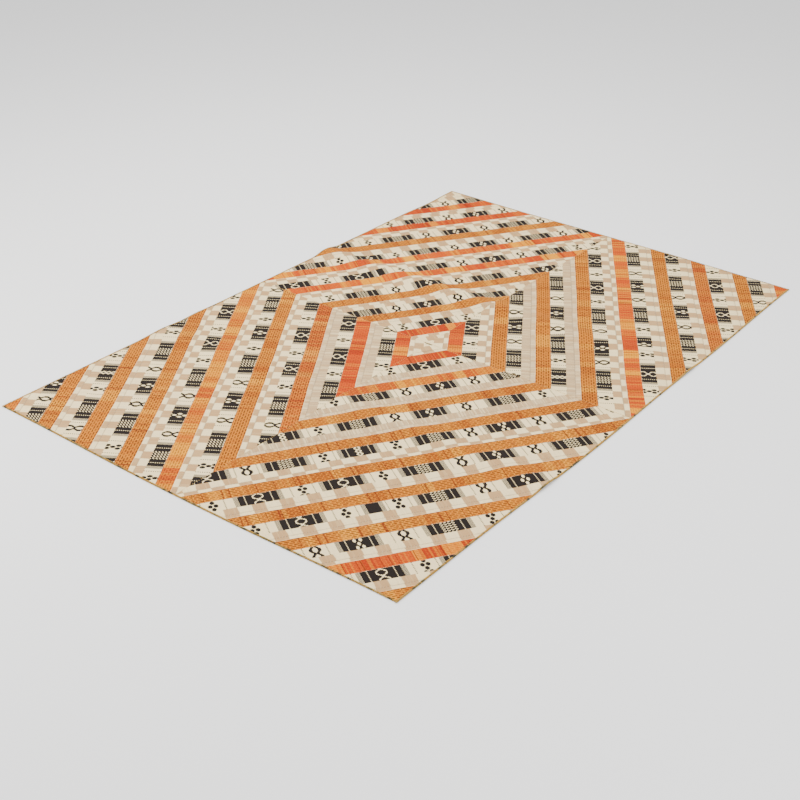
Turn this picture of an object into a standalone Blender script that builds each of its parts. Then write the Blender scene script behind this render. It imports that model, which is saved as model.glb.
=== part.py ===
"""Flat-woven patchwork rug: woven strips sewn as concentric diamonds, with an overcast yarn edge.

The rug lies flat on the floor. Its long side runs along X, its short side along Y, and Z is up.
The origin is on the floor under the middle of the rug. All sizes are in metres.
"""
import math

import bmesh
import bpy

# The whole rug, edge yarn included
RUG_LENGTH = 3.07
RUG_WIDTH = 2.03
CLOTH_THICKNESS = 0.004

# The diamonds: strips lie at one angle to the long side, and all have the same width
STRIP_ANGLE = math.radians(33.0)
STRIP_WIDTH = 0.1917
CENTRE_REACH = 0.063
FULL_STRIPS = 8
CENTRE_X = -0.005
CENTRE_Y = 0.005

# The overcast yarn round the edge
EDGE_YARN_WIDTH = 0.005
EDGE_YARN_HEIGHT = 0.0052
EDGE_YARN_ROUND = 0.0014

# Neighbouring pieces keep this far apart
SEAM_GAP = 0.0003

# Cuts across the cloth, so that it can bend: wide apart where it is flat, close where it folds
FLAT_CUT_SPACING = 0.17
FOLD_CUT_SPACING = 0.021

# Soft fold ridges that run across the rug, from an old fold in storage.
# place: x of the crest at the front and back edges; reach: crest to flat floor, along x;
# front, middle, back: height of the crest at the three places across the width.
FOLD_COLUMNS = ("front_place", "back_place", "reach", "front", "middle", "back")
FOLDS = (
    (0.495, 0.457, 0.108, 0.0060, 0.0165, 0.0145),
    (-0.626, -0.632, 0.100, 0.0075, 0.0060, 0.0040),
)

# How the sides leave a straight line. side; place along it; reach either way; how far out.
BULGE_COLUMNS = ("side", "place", "reach", "out")
BULGES = (
    ("left", 0.15, 0.80, 0.009),
    ("left", -1.05, 0.80, -0.015),
    ("front", -0.34, 0.75, 0.011),
    ("front", 1.53, 0.90, -0.016),
    ("back", -0.70, 0.11, 0.006),
    ("back", -0.44, 0.11, 0.005),
    ("back", 1.30, 0.22, -0.009),
    ("right", -0.35, 0.45, 0.004),
    ("right", 0.55, 0.35, -0.003),
)
# A bulge fades from the side towards the rug's middle with this power of the distance
BULGE_FADE = 5
# The left and front sides bulge more, so the pattern moves by this much, right and back, to keep
# the origin under the middle of the laid rug
MIDDLE_SHIFT = 0.0025

# The seams waver a little, because the strips are cut and sewn by hand
WAVER = 0.0018
WAVER_LENGTH_X = 0.83
WAVER_LENGTH_Y = 0.61

# Colours as they average over a strip (linear values)
CREAM = (0.68, 0.56, 0.43)
GREIGE = (0.52, 0.45, 0.36)
TAN_ORANGE = (0.47, 0.20, 0.06)
RED_ORANGE = (0.58, 0.13, 0.03)
EDGE_GOLD = (0.42, 0.27, 0.07)
WOOL_ROUGHNESS = 0.9

QUARTERS = {
    "back_left": (-1, 1),
    "back_right": (1, 1),
    "front_left": (-1, -1),
    "front_right": (1, -1),
}
# Strips whose broad band is red-orange; the others are tan-orange
RED_STRIPS = {
    "back_left": (1, 2, 5),
    "back_right": (1, 4, 5, 7, 8),
    "front_left": (1, 8),
    "front_right": (1, 5, 7),
}
# How much of a strip's average colour its broad band gives
BAND_SHARE = 0.45


def named_rows(columns, rows):
    """Turn the rows of a short table into dictionaries."""
    return [dict(zip(columns, row)) for row in rows]


def soft_bump(distance, reach):
    """A smooth hump: 1 at no distance, 0 from the reach on."""
    if abs(distance) >= reach:
        return 0.0
    return 0.5 + 0.5 * math.cos(math.pi * distance / reach)


def blend(start, end, share):
    """Mix two numbers."""
    return start + (end - start) * share


def fold_height(x, y):
    """Height of the cloth's underside above the floor, at a place on the flat rug."""
    across = min(max(y / RUG_WIDTH + 0.5, 0.0), 1.0)
    height = 0.0
    for fold in named_rows(FOLD_COLUMNS, FOLDS):
        place = blend(fold["front_place"], fold["back_place"], across)
        if across < 0.5:
            crest = blend(fold["front"], fold["middle"], across * 2)
        else:
            crest = blend(fold["middle"], fold["back"], across * 2 - 1)
        height += crest * soft_bump(x - place, fold["reach"])
    return height


def laid_point(x, y):
    """Where a point of the straight, flat pattern comes to lie in the sewn rug."""
    half_length = RUG_LENGTH / 2
    half_width = RUG_WIDTH / 2
    out_x = 0.0
    out_y = 0.0
    for bulge in named_rows(BULGE_COLUMNS, BULGES):
        side = bulge["side"]
        if side in ("left", "right"):
            sign = 1 if side == "right" else -1
            fade = max(x * sign / half_length, 0.0) ** BULGE_FADE
            out_x += sign * fade * bulge["out"] * soft_bump(y - bulge["place"], bulge["reach"])
        else:
            sign = 1 if side == "back" else -1
            fade = max(y * sign / half_width, 0.0) ** BULGE_FADE
            out_y += sign * fade * bulge["out"] * soft_bump(x - bulge["place"], bulge["reach"])
    inside = (1 - (x / half_length) ** 4) * (1 - (y / half_width) ** 4)
    turn_x = math.tau * x / WAVER_LENGTH_X
    turn_y = math.tau * y / WAVER_LENGTH_Y
    out_x += WAVER * inside * math.sin(turn_y + 0.6 * turn_x)
    out_y += WAVER * inside * math.sin(turn_x - 0.7 * turn_y)
    return x + out_x + MIDDLE_SHIFT, y + out_y + MIDDLE_SHIFT, fold_height(x, y)


def cut_places(half_size, folds):
    """Where the cloth is cut across, from one side of the rug to the other."""
    count = math.ceil(2 * half_size / FLAT_CUT_SPACING)
    places = [half_size * (2 * step / count - 1) for step in range(1, count)]
    for fold in folds:
        steps = math.ceil(fold["reach"] / FOLD_CUT_SPACING)
        middle = (fold["front_place"] + fold["back_place"]) / 2
        places = [place for place in places if abs(place - middle) > fold["reach"]]
        places += [middle + fold["reach"] * step / steps for step in range(-steps, steps + 1)]
    return sorted(places)


def slice_mesh(mesh, axis, places):
    """Cut a flat mesh along lines of constant x (axis 0) or y (axis 1)."""
    direction = [0.0, 0.0, 0.0]
    direction[axis] = 1.0
    for place in places:
        point = [place * part for part in direction]
        geometry = mesh.verts[:] + mesh.edges[:] + mesh.faces[:]
        bmesh.ops.bisect_plane(mesh, geom=geometry, dist=1e-7, plane_co=point, plane_no=direction)


def trim_mesh(mesh, point, outward):
    """Cut away what lies on the outward side of a line through the point."""
    geometry = mesh.verts[:] + mesh.edges[:] + mesh.faces[:]
    bmesh.ops.bisect_plane(
        mesh, geom=geometry, dist=1e-7, plane_co=point, plane_no=outward, clear_outer=True
    )


def woollen(name, colour):
    """A plain wool material in one colour."""
    material = bpy.data.materials.new(name)
    material.use_nodes = True
    shader = material.node_tree.nodes["Principled BSDF"]
    shader.inputs["Base Color"].default_value = (*colour, 1.0)
    shader.inputs["Roughness"].default_value = WOOL_ROUGHNESS
    shader.inputs["Metallic"].default_value = 0.0
    return material


def add_object(name, mesh, colour):
    """Make an object of a finished mesh, with its own material."""
    data = bpy.data.meshes.new(name)
    mesh.to_mesh(data)
    mesh.free()
    data.materials.append(woollen(name + "_wool", colour))
    piece = bpy.data.objects.new(name, data)
    bpy.context.scene.collection.objects.link(piece)
    return piece


def strip_pattern(signs, inner, outer):
    """The flat outline of one strip in its quarter, between two distances from the centre."""
    sign_x, sign_y = signs
    away = (sign_x * math.sin(STRIP_ANGLE), sign_y * math.cos(STRIP_ANGLE))
    along = (sign_x * math.cos(STRIP_ANGLE), -sign_y * math.sin(STRIP_ANGLE))
    reach = RUG_LENGTH
    mesh = bmesh.new()
    corners = []
    for distance, run in ((inner, -reach), (inner, reach), (outer, reach), (outer, -reach)):
        x = CENTRE_X + away[0] * distance + along[0] * run
        y = CENTRE_Y + away[1] * distance + along[1] * run
        corners.append(mesh.verts.new((x, y, 0.0)))
    mesh.faces.new(corners)
    half_gap = SEAM_GAP / 2
    cloth_x = RUG_LENGTH / 2 - EDGE_YARN_WIDTH - half_gap
    cloth_y = RUG_WIDTH / 2 - EDGE_YARN_WIDTH - half_gap
    trim_mesh(mesh, (CENTRE_X + sign_x * half_gap, 0, 0), (-sign_x, 0, 0))
    trim_mesh(mesh, (0, CENTRE_Y + sign_y * half_gap, 0), (0, -sign_y, 0))
    trim_mesh(mesh, (sign_x * cloth_x, 0, 0), (sign_x, 0, 0))
    trim_mesh(mesh, (0, sign_y * cloth_y, 0), (0, sign_y, 0))
    return mesh


def cloth_piece(name, signs, inner, outer, cuts_x, cuts_y, colour):
    """One cut piece of the woven cloth, laid in its place and given its thickness."""
    half_gap = SEAM_GAP / 2
    mesh = strip_pattern(signs, inner + half_gap, outer - half_gap)
    slice_mesh(mesh, 0, cuts_x)
    slice_mesh(mesh, 1, cuts_y)
    bmesh.ops.triangulate(mesh, faces=mesh.faces[:])
    for vertex in mesh.verts:
        vertex.co = laid_point(vertex.co.x, vertex.co.y)
    raised = bmesh.ops.extrude_face_region(mesh, geom=mesh.faces[:])
    for item in raised["geom"]:
        if isinstance(item, bmesh.types.BMVert):
            item.co.z += CLOTH_THICKNESS
    bmesh.ops.recalc_face_normals(mesh, faces=mesh.faces[:])
    return add_object(name, mesh, colour)


def strip_colour(quarter, ring):
    """A strip's average colour: its broad orange band with the cream and black of the rest."""
    band = RED_ORANGE if ring in RED_STRIPS[quarter] else TAN_ORANGE
    return tuple(blend(pale, strong, BAND_SHARE) for pale, strong in zip(CREAM, band))


def edge_yarn(name, side, cuts):
    """The overcast yarn along one side: a low round-shouldered cord that follows the cloth's edge."""
    half_length = RUG_LENGTH / 2
    half_width = RUG_WIDTH / 2
    along_x = side in ("front", "back")
    sign = 1 if side in ("back", "right") else -1
    half_run = half_length if along_x else half_width
    half_side = half_width if along_x else half_length
    shoulder = EDGE_YARN_ROUND
    section = (
        (shoulder, 0.0),
        (0.0, shoulder),
        (0.0, EDGE_YARN_HEIGHT - shoulder),
        (shoulder, EDGE_YARN_HEIGHT),
        (EDGE_YARN_WIDTH - SEAM_GAP, EDGE_YARN_HEIGHT),
        (EDGE_YARN_WIDTH - SEAM_GAP, 0.0),
    )
    mesh = bmesh.new()
    rings = []
    for place in [-half_run] + list(cuts) + [half_run]:
        ring = []
        for inset, height in section:
            # at a corner the yarn is mitred with that of the next side
            limit = half_run - inset - SEAM_GAP
            run = min(max(place, -limit), limit)
            off = sign * (half_side - inset)
            x, y, lift = laid_point(run, off) if along_x else laid_point(off, run)
            ring.append(mesh.verts.new((x, y, lift + height)))
        rings.append(ring)
    for first, second in zip(rings, rings[1:]):
        for index in range(len(section)):
            following = (index + 1) % len(section)
            mesh.faces.new((first[index], first[following], second[following], second[index]))
    mesh.faces.new(rings[0])
    mesh.faces.new(rings[-1])
    bmesh.ops.triangulate(mesh, faces=mesh.faces[:])
    bmesh.ops.recalc_face_normals(mesh, faces=mesh.faces[:])
    return add_object(name, mesh, EDGE_GOLD)


def build_rug():
    """Make every piece of the rug."""
    for item in list(bpy.data.objects):
        bpy.data.objects.remove(item, do_unlink=True)
    cuts_x = cut_places(RUG_LENGTH / 2, named_rows(FOLD_COLUMNS, FOLDS))
    cuts_y = cut_places(RUG_WIDTH / 2, [])
    last_seam = CENTRE_REACH + STRIP_WIDTH * FULL_STRIPS
    beyond = last_seam + STRIP_WIDTH
    for quarter, signs in QUARTERS.items():
        cloth_piece(quarter + "_centre", signs, 0.0, CENTRE_REACH, cuts_x, cuts_y, GREIGE)
        for ring in range(1, FULL_STRIPS + 1):
            outer = CENTRE_REACH + STRIP_WIDTH * ring
            name = quarter + "_strip_" + str(ring)
            colour = strip_colour(quarter, ring)
            cloth_piece(name, signs, outer - STRIP_WIDTH, outer, cuts_x, cuts_y, colour)
        cloth_piece(quarter + "_corner", signs, last_seam, beyond, cuts_x, cuts_y, TAN_ORANGE)
    edge_yarn("edge_yarn_front", "front", cuts_x)
    edge_yarn("edge_yarn_back", "back", cuts_x)
    edge_yarn("edge_yarn_left", "left", cuts_y)
    edge_yarn("edge_yarn_right", "right", cuts_y)


build_rug()
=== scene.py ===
# %% [markdown]
# A patchwork kilim rug
#
# The real rug is made of long, narrow hand-woven wool strips. They are cut at a slant, sewn together as rings of a
# diamond, and overcast round the edge with yarn. This lesson dresses the plain solids of such a rug. It makes each
# cut strip as a fine mesh, weaves the motifs into it from charts, and gives every yarn a procedural finish. We
# start with the tools and the imported model, which fixes every size.

# %% Load the imported rug
import math

import bmesh
import bpy
import numpy as np
from mathutils import Matrix, Vector


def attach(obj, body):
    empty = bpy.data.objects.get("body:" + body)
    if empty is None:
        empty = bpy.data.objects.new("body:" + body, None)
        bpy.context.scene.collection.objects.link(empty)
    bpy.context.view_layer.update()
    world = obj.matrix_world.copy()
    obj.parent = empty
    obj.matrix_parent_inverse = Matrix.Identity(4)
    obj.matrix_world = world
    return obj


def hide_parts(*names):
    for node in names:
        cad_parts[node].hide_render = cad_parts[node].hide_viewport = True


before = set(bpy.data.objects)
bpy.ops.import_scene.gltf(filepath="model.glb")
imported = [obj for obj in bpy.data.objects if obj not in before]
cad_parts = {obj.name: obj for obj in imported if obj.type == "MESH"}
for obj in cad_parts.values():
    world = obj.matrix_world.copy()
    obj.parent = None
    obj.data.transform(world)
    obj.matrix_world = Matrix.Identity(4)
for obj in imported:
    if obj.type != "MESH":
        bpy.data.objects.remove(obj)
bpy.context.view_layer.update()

# %% [markdown]
# ## The rug's own sizes
#
# A maker would note the size of the rug, the slant of the strips and their width. Everything else follows.
# These are the same driving sizes as in the solids, so the fine cloth lies exactly where they lie.

# %% Driving sizes, in metres
RUG_LENGTH = 3.07
RUG_WIDTH = 2.03
CLOTH_THICKNESS = 0.004
STRIP_ANGLE = math.radians(33.0)
STRIP_WIDTH = 0.1917
CENTRE_REACH = 0.063
FULL_STRIPS = 8
CENTRE_X = -0.005
CENTRE_Y = 0.005
EDGE_YARN_WIDTH = 0.005
MIDDLE_SHIFT = 0.0025
QUARTERS = {"back_left": (-1, 1), "back_right": (1, 1), "front_left": (-1, -1), "front_right": (1, -1)}
print("strip width", STRIP_WIDTH, "m, slant", round(math.degrees(STRIP_ANGLE)), "degrees")

# %% [markdown]
# ## How the cloth lies
#
# A wool rug that was stored folded keeps soft ridges, and a hand-sewn one never has a straight side. Both
# could be sculpted by eye. Here one function takes every point of the flat pattern to its place on the
# floor: bulges move the sides, a slow wave lets the seams waver, and two ridges lift the cloth. It works
# on whole arrays of points, because the fine cloth has a great many.

# %% The laying function
FOLD_COLUMNS = ("front_place", "back_place", "reach", "front", "middle", "back")
FOLDS = (
    (0.495, 0.457, 0.108, 0.0060, 0.0165, 0.0145),
    (-0.626, -0.632, 0.100, 0.0075, 0.0060, 0.0040),
)
BULGE_COLUMNS = ("side", "place", "reach", "out")
BULGES = (
    ("left", 0.15, 0.80, 0.009),
    ("left", -1.05, 0.80, -0.015),
    ("front", -0.34, 0.75, 0.011),
    ("front", 1.53, 0.90, -0.016),
    ("back", -0.70, 0.11, 0.006),
    ("back", -0.44, 0.11, 0.005),
    ("back", 1.30, 0.22, -0.009),
    ("right", -0.35, 0.45, 0.004),
    ("right", 0.55, 0.35, -0.003),
)
BULGE_FADE = 5
WAVER = 0.0018
WAVER_LENGTH_X = 0.83
WAVER_LENGTH_Y = 0.61


def named_rows(columns, rows):
    """Turn the rows of a short table into dictionaries."""
    return [dict(zip(columns, row)) for row in rows]


def soft_bump(distance, reach):
    """A smooth hump: 1 at no distance, 0 from the reach on."""
    return np.where(np.abs(distance) < reach, 0.5 + 0.5 * np.cos(math.pi * distance / reach), 0.0)


def fold_height(x, y):
    """Height of the cloth's underside above the floor."""
    across = np.clip(y / RUG_WIDTH + 0.5, 0.0, 1.0)
    height = np.zeros_like(x)
    for fold in named_rows(FOLD_COLUMNS, FOLDS):
        place = fold["front_place"] + (fold["back_place"] - fold["front_place"]) * across
        crest = np.interp(across, (0.0, 0.5, 1.0), (fold["front"], fold["middle"], fold["back"]))
        height += crest * soft_bump(x - place, fold["reach"])
    return height


def laid(x, y):
    """Where points of the flat pattern lie on the floor: x, y and height of the underside."""
    half_length, half_width = RUG_LENGTH / 2, RUG_WIDTH / 2
    out_x, out_y = np.zeros_like(x), np.zeros_like(y)
    for bulge in named_rows(BULGE_COLUMNS, BULGES):
        sign = 1 if bulge["side"] in ("right", "back") else -1
        if bulge["side"] in ("left", "right"):
            fade = np.maximum(x * sign / half_length, 0.0) ** BULGE_FADE
            out_x += sign * fade * bulge["out"] * soft_bump(y - bulge["place"], bulge["reach"])
        else:
            fade = np.maximum(y * sign / half_width, 0.0) ** BULGE_FADE
            out_y += sign * fade * bulge["out"] * soft_bump(x - bulge["place"], bulge["reach"])
    inside = (1 - (x / half_length) ** 4) * (1 - (y / half_width) ** 4)
    turn_x, turn_y = math.tau * x / WAVER_LENGTH_X, math.tau * y / WAVER_LENGTH_Y
    out_x = out_x + WAVER * inside * np.sin(turn_y + 0.6 * turn_x)
    out_y = out_y + WAVER * inside * np.sin(turn_x - 0.7 * turn_y)
    return x + out_x + MIDDLE_SHIFT, y + out_y + MIDDLE_SHIFT, fold_height(x, y)


print("crests of the folds:", [round(float(fold_height(np.array([f[1]]), np.array([RUG_WIDTH / 2]))[0]), 4)
                               for f in FOLDS], "m at the back edge")

# %% [markdown]
# ## Floor, light and camera
#
# The camera stands where the photographer stood: its place was worked out from how the rug's four corners
# run together in the distance. A pale floor and large soft lights show wool best, since hard light would
# put sharp glints on a surface that has none.

# %% A plain pale floor
FLOOR_SIZE = 30.0
FLOOR_GREY = 0.90
bpy.ops.mesh.primitive_plane_add(size=FLOOR_SIZE, location=(0, 0, 0))
floor = bpy.context.object
floor.name = "studio_floor"
floor_paint = bpy.data.materials.new("pale_floor")
floor_paint.use_nodes = True
floor_shader = floor_paint.node_tree.nodes["Principled BSDF"]
floor_shader.inputs["Base Color"].default_value = (FLOOR_GREY, FLOOR_GREY, FLOOR_GREY, 1.0)
floor_shader.inputs["Roughness"].default_value = 0.9
floor.data.materials.append(floor_paint)
print("floor", FLOOR_SIZE, "m square")

# %% Camera at the photographer's place
PHOTO_PIXELS = 800
FOCAL_PIXELS = 1357.0
SENSOR_MM = 36.0
CAMERA_PLACE = Vector((-4.2710, -3.1691, 2.7934))
CAMERA_RIGHT = Vector((0.61968, -0.78482, 0.00872))
CAMERA_UP = Vector((0.38861, 0.31655, 0.86532))

camera_data = bpy.data.cameras.new("photo_camera")
camera_data.sensor_width = SENSOR_MM
camera_data.lens = SENSOR_MM * FOCAL_PIXELS / PHOTO_PIXELS
camera = bpy.data.objects.new("photo_camera", camera_data)
turn = Matrix((CAMERA_RIGHT, CAMERA_UP, CAMERA_RIGHT.cross(CAMERA_UP))).transposed()
camera.matrix_world = Matrix.Translation(CAMERA_PLACE) @ turn.to_4x4()
bpy.context.scene.collection.objects.link(camera)
bpy.context.scene.camera = camera
print("lens", round(camera_data.lens, 1), "mm")

# %% Soft studio light
LIGHT_COLUMNS = ("name", "place", "size", "watts", "colour")
LIGHTS = (
    ("overhead_softbox", (0.6, 0.9, 4.2), 4.5, 230.0, (1.0, 0.985, 0.96)),
    ("window_side_softbox", (-3.6, 2.6, 2.4), 2.4, 150.0, (1.0, 0.98, 0.95)),
    ("front_fill", (-1.5, -4.2, 2.6), 3.0, 80.0, (0.96, 0.98, 1.0)),
)
for row in named_rows(LIGHT_COLUMNS, LIGHTS):
    lamp_data = bpy.data.lights.new(row["name"], "AREA")
    lamp_data.shape = "DISK"
    lamp_data.size = row["size"]
    lamp_data.energy = row["watts"]
    lamp_data.color = row["colour"]
    lamp = bpy.data.objects.new(row["name"], lamp_data)
    lamp.location = row["place"]
    lamp.rotation_euler = (-Vector(row["place"])).to_track_quat("-Z", "Y").to_euler()
    bpy.context.scene.collection.objects.link(lamp)

room = bpy.data.worlds.new("white_room")
room.use_nodes = True
room.node_tree.nodes["Background"].inputs["Color"].default_value = (1.0, 1.0, 1.0, 1.0)
room.node_tree.nodes["Background"].inputs["Strength"].default_value = 1.20
bpy.context.scene.world = room
print(len(LIGHTS), "soft lights and a white room")

# %% [markdown]
# ## The weaver's charts
#
# In pick-up weaving the weaver counts threads, so a motif is a small grid of cells. We keep that: each motif is a
# chart drawn in text, a # for black yarn and a dot for cream. A row is one step out from the orange band. All the
# motifs run on from edge to edge of the cloth, so a chart is one repeat of ten rows, and the band of fifteen rows
# may start at any of them. The charts are common kinds of this craft: lozenges, chains of links and fine wavy
# lines.

# %% Motif charts
CHART_ROWS = 15
LOZENGES = """
..###...###..
.#####.#####.
.#####.#####.
.#####.#####.
..###...###..
.....###.....
....#####....
....#####....
....#####....
.....###.....
"""
LINKS = """
...#######...
...#######...
..####.####..
.####...####.
####.....####
####.....####
####.....####
####.....####
.####...####.
..####.####..
"""
PALE_LOZENGES = """
###.#####.###
##...###...##
##...###...##
##...###...##
###.#####.###
######.######
#####...#####
#####...#####
#####...#####
######.######
"""
PALE_LINKS = """
#####...#####
#####...#####
####..#..####
##..#####..##
#..#######..#
#.#########.#
#.#########.#
#..#######..#
##..#####..##
####..#..####
"""
NARROW_LINKS = """
#####...#####
####..#..####
###..###..###
###..###..###
####..#..####
"""


def read_chart(text):
    """A chart as an array of 0 (cream) and 1 (black), rows outwards from the orange band."""
    return np.array([[mark == "#" for mark in line] for line in text.split()], float)


def wavy_chart(columns):
    """Fine cream waves on black, in every third row: three cells with the last a step aside, and a gap."""
    return np.array([[column % 4 == 3 or (row + (column % 4 == 2)) % 3 > 0 for column in range(columns)]
                     for row in range(CHART_ROWS)], float)


def rows_from(chart, first_row):
    """The fifteen rows that the band shows of a repeating chart."""
    return chart[(first_row + np.arange(CHART_ROWS)) % len(chart)]


BLOCK_FIGURES = {
    "C": wavy_chart(15),
    "L": read_chart(PALE_LINKS),
    "E": read_chart(PALE_LINKS),
    "X": read_chart(PALE_LOZENGES),
    "N": read_chart(NARROW_LINKS),
}
SMALL_MOTIFS = {"q": read_chart(LOZENGES), "f": read_chart(LINKS)}
for letter, chart in {**BLOCK_FIGURES, **SMALL_MOTIFS}.items():
    print("chart", letter, chart.shape, "cells, black share", round(float(chart.mean()), 2))

# %% [markdown]
# ## The run of each strip
#
# Along a strip the motifs take turns: a small one on cream, then a black block with a figure in it. Every
# strip was cut from the loom cloth at another place, so each has its own start. The table names, for each
# strip, where its first black block has its middle, the repeat, and the order of the motifs. A motif is a
# letter, with the chart row that the band starts at, and takes half a repeat. E is a short block, B and S
# have no figure, H is half a block and I a lone bar. No weaver counts every pick right, so a + or a - is a
# centimetre more or less of plain cream. The last two numbers say where a dark square has its middle in the
# narrow and in the wide check column.

# %% Table of strips
STRIP_COLUMNS = ("quarter", "ring", "first_block", "repeat", "run", "dye", "outer_side", "checks_at")
STRIPS = (
    ("back_left", 1, 0.058, 0.332, "f5 C q9", "red", "greige", (0.053, 0.009)),
    ("back_left", 2, -0.153, 0.310, "q5 L9 +q4 L6 q3 -C q5", "red", "greige", (0.061, 0.096)),
    ("back_left", 3, -0.305, 0.308, "q5 B ---q6 +L7 ++q3 -E6 q2 C f6 L0", "rust", "checks", (0.042, 0.012)),
    ("back_left", 4, -0.309, 0.307, "f0 C q5 --X5 q5 -C +f5 X1 f5 ++C +q2 C", "tan", "checks", (0.064, 0.084)),
    ("back_left", 5, -0.210, 0.309, "q5 L6 ++q7 -E2 q9 C f0 X6 -f6 C q5 C", "bright", "checks", (0.037, 0.013)),
    ("back_left", 6, -0.106, 0.306, "q5 C --q8 ++C +f0 -X7 f8 C ++q9 C", "tan", "checks", (0.065, 0.015)),
    ("back_left", 7, 0.112, 0.302, "q5 C q3 N2 -q3 +C f3 X0", "tan", "checks", (0.017, 0.031)),
    ("back_left", 8, 0.530, 0.275, "q5 X6 -f9 +C q5", "tan", "checks", (0.018, 0.085)),
    ("back_right", 1, -0.212, 0.308, "q5 L8 q8 L8 q8 L8", "red", "checks", (0.049, 0.074)),
    ("back_right", 2, -0.178, 0.306, "q5 C f8 X6 f8 C q5 X6", "tan", "checks", (0.074, 0.060)),
    ("back_right", 3, -0.132, 0.315, "q9 C +f9 +X6 f8 -C q6 -X6 q5", "tan", "checks", (0.045, 0.064)),
    ("back_right", 4, -0.412, 0.320, "q5 L2 q9 L2 ----I ------q5 C f4 X6 f5 C -q9 X6", "red_yellow", "checks", (0.018, 0.099)),
    ("back_right", 5, -0.281, 0.305, "q5 C q6 X6 -q6 C +f9 X6 -f1 C f1 X6", "red_yellow", "checks", (0.051, 0.034)),
    ("back_right", 6, -0.082, 0.321, "q5 X6 q6 C f6 X6 f7 C f0 X6", "tan", "checks", (0.034, 0.094)),
    ("back_right", 7, 0.097, 0.324, "q5 X6 q5 C f4 X6 f4 C", "red", "checks", (0.049, 0.022)),
    ("back_right", 8, 0.480, 0.312, "q5 X6 f1 C q5", "red", "checks", (0.035, 0.085)),
    ("front_left", 1, -0.218, 0.307, "q5 C q9 L4 q9 L4", "red", "greige", (0.026, 0.093)),
    ("front_left", 2, -0.220, 0.306, "q5 C f5 X6 f6 C q5 L2", "bright", "greige", (0.046, 0.088)),
    ("front_left", 3, -0.137, 0.317, "q6 C ++f8 X7 -f0 C q7 -N0 q5", "tan", "greige", (0.035, 0.008)),
    ("front_left", 4, -0.355, 0.301, "q5 C +f4 X0 -f4 C +q1 N1 -q8 C f6 L2", "tan", "checks", (0.066, 0.056)),
    ("front_left", 5, -0.245, 0.311, "q5 C f5 X6 -f7 C q5 L9 q7 +L2 +q5 C", "tan", "checks", (0.005, 0.095)),
    ("front_left", 6, 0.033, 0.290, "q5 X5 ++f4 +++C +q0 -----S ----q4 ++L9 ++q5", "tan", "checks", (0.096, 0.070)),
    ("front_left", 7, 0.073, 0.333, "q5 L0 q0 C f1 X0 -f1 L0", "tan", "checks", (0.070, 0.059)),
    ("front_left", 8, 0.425, 0.295, "q5 X6 -q7 +L1 q5", "red", "checks", (0.063, 0.031)),
    ("front_right", 1, -0.136, 0.308, "f5 X6 q2 L4 q5 X6", "red", "checks", (0.083, 0.024)),
    ("front_right", 2, -0.101, 0.304, "q5 C +f2 -X1 ---f1 +++C q5 X6", "tan", "greige", (0.078, 0.097)),
    ("front_right", 3, -0.246, 0.314, "q5 N2 -q8 -C --f8 ++X6 f0 +C q5", "tan", "greige", (0.006, 0.090)),
    ("front_right", 4, -0.250, 0.306, "q4 C f7 ---X4 ++f7 C q3 L7 q4 +L6 q2", "tan", "checks", (0.093, 0.039)),
    ("front_right", 5, -0.178, 0.298, "q2 L4 +q9 -H6 ---q9 C +f1 X9 f3 ++C +q9", "red_yellow", "checks", (0.090, 0.005)),
    ("front_right", 6, -0.183, 0.310, "q5 X6 q2 C f7 X3 f7 C q4 L0", "tan", "checks", (0.002, 0.003)),
    ("front_right", 7, 0.116, 0.313, "q5 X6 q9 L1 q7 L0 q6", "rust", "checks", (0.097, 0.098)),
    ("front_right", 8, 0.418, 0.318, "q5 X6 f5 C q5", "tan", "checks", (0.097, 0.053)),
)
print(len(STRIPS), "full strips in the table")

# %% [markdown]
# ## Rows across a strip
#
# Every strip has the same weave across its width: a narrow check column, a fine pink thread, the broad
# orange band, another fine thread, the motif band of fifteen cells, and a wide check column. The mesh gets
# a line at each border, so that a colour never bleeds over it, and a few more where the cloth rounds into
# a seam.

# %% Row lines and what lies between them
NARROW_CHECK = 0.0205
FINE_THREAD = 0.0017
ORANGE_BAND = 0.0665
OUTER_THREAD = 0.0008
MOTIF_CELL = 0.00427
SEAM_ROUND = (0.0020, 0.0060)
NARROW, THREAD, BAND, MOTIF, WIDE = range(5)
PART_NAMES = ("narrow check", "fine thread", "orange band", "motif band", "wide check")


def rows_across():
    """Lines across a strip, from its inner seam to its outer one, and the part after each line."""
    near, far = SEAM_ROUND
    lines = [(0.0, NARROW), (near, NARROW), (far, NARROW), (NARROW_CHECK, THREAD)]
    band_start = NARROW_CHECK + FINE_THREAD
    lines += [(band_start + ORANGE_BAND * share, BAND) for share in (0.0, 0.25, 0.5, 0.75)]
    lines.append((band_start + ORANGE_BAND, THREAD))
    motif_start = band_start + ORANGE_BAND + OUTER_THREAD
    lines += [(motif_start + MOTIF_CELL * row, MOTIF) for row in range(CHART_ROWS)]
    check_start = motif_start + MOTIF_CELL * CHART_ROWS
    check_width = STRIP_WIDTH - far - check_start
    lines += [(check_start + check_width * share, WIDE) for share in (0.0, 0.35, 0.7, 1.0)]
    lines.append((STRIP_WIDTH - near, WIDE))
    places = np.array([place for place, _ in lines] + [STRIP_WIDTH])
    parts = np.array([part for _, part in lines])
    return places, parts


ROW_PLACES, ROW_PARTS = rows_across()
MOTIF_ROWS = np.flatnonzero(ROW_PARTS == MOTIF)
print(len(ROW_PARTS), "rows:", {name: int((ROW_PARTS == part).sum()) for part, name in enumerate(PART_NAMES)})

# %% [markdown]
# ## Columns along a strip
#
# Along the strip a column is as wide as it may be. Plain black and plain cream need one column for a
# whole bar, and only the figures need one for each cell. That keeps the mesh light. Each column carries
# the yarn of its fifteen cells: 0 is cream, 1 is black, and numbers between them name other yarns.

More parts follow.
